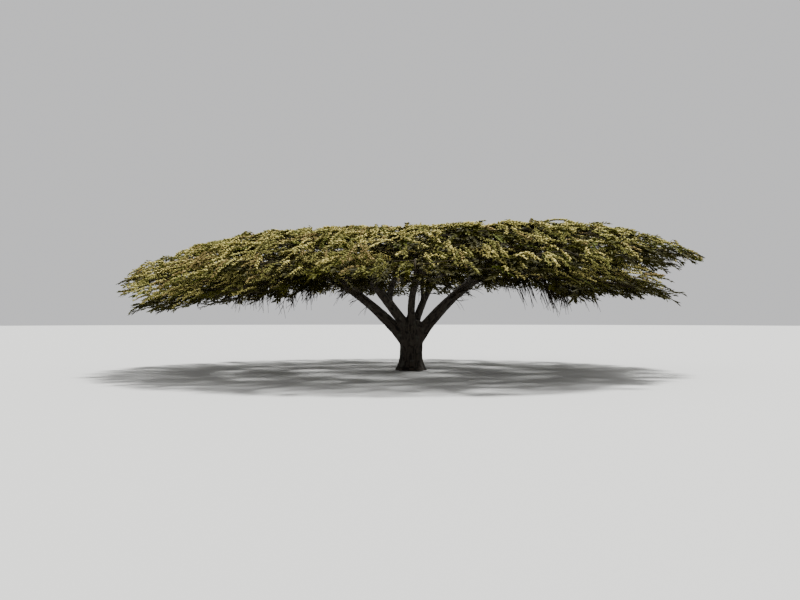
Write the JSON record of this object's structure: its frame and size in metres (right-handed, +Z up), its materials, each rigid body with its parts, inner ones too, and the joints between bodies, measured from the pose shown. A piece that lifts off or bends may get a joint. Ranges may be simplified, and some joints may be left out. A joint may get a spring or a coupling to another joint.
{
  "type": "umbrella acacia tree",
  "caption": "Wide, low umbrella-crowned acacia in pale blossom: a short flared trunk forks into spreading boughs that carry layered shelves of foliage.",
  "frame": {"origin": "centre of the trunk's flat cut at ground level", "axes": "+Z up, +X to the right in the picture's view, -Y towards its viewer"},
  "size_m": [15.9671, 14.822, 4.1597],
  "materials": {
    "bark": "rough, fissured",
    "foliage": "matt"
  },
  "bodies": {
    "root": {"bough_back_left": "bark", "bough_back_right": "bark", "bough_front_left": "bark", "bough_front_right": "bark", "bough_left": "bark", "bough_middle_026": "bark", "bough_middle_077": "bark", "bough_middle_129": "bark", "bough_middle_180": "bark", "bough_middle_231": "bark", "bough_middle_283": "bark", "bough_middle_334": "bark", "bough_right": "bark", "bough_rim_030": "bark", "bough_rim_090": "bark", "bough_rim_150": "bark", "bough_rim_210": "bark", "bough_rim_270": "bark", "bough_rim_330": "bark", "bough_skirt_020": "bark", "bough_skirt_163": "bark", "bough_skirt_198": "bark", "bough_skirt_231": "bark", "bough_skirt_317": "bark", "bough_skirt_349": "bark", "bough_top_045": "bark", "bough_top_135": "bark", "bough_top_225": "bark", "bough_top_315": "bark", "foliage_back_left": "foliage", "foliage_back_right": "foliage", "foliage_front_left": "foliage", "foliage_front_right": "foliage", "foliage_left": "foliage", "foliage_middle_026": "foliage", "foliage_middle_077": "foliage", "foliage_middle_129": "foliage", "foliage_middle_180": "foliage", "foliage_middle_231": "foliage", "foliage_middle_283": "foliage", "foliage_middle_334": "foliage", "foliage_right": "foliage", "foliage_rim_030": "foliage", "foliage_rim_090": "foliage", "foliage_rim_150": "foliage", "foliage_rim_210": "foliage", "foliage_rim_270": "foliage", "foliage_rim_330": "foliage", "foliage_skirt_020": "foliage", "foliage_skirt_163": "foliage", "foliage_skirt_198": "foliage", "foliage_skirt_231": "foliage", "foliage_skirt_317": "foliage", "foliage_skirt_349": "foliage", "foliage_top_045": "foliage", "foliage_top_135": "foliage", "foliage_top_225": "foliage", "foliage_top_315": "foliage", "trunk": "bark"}
  },
  "joints": []
}
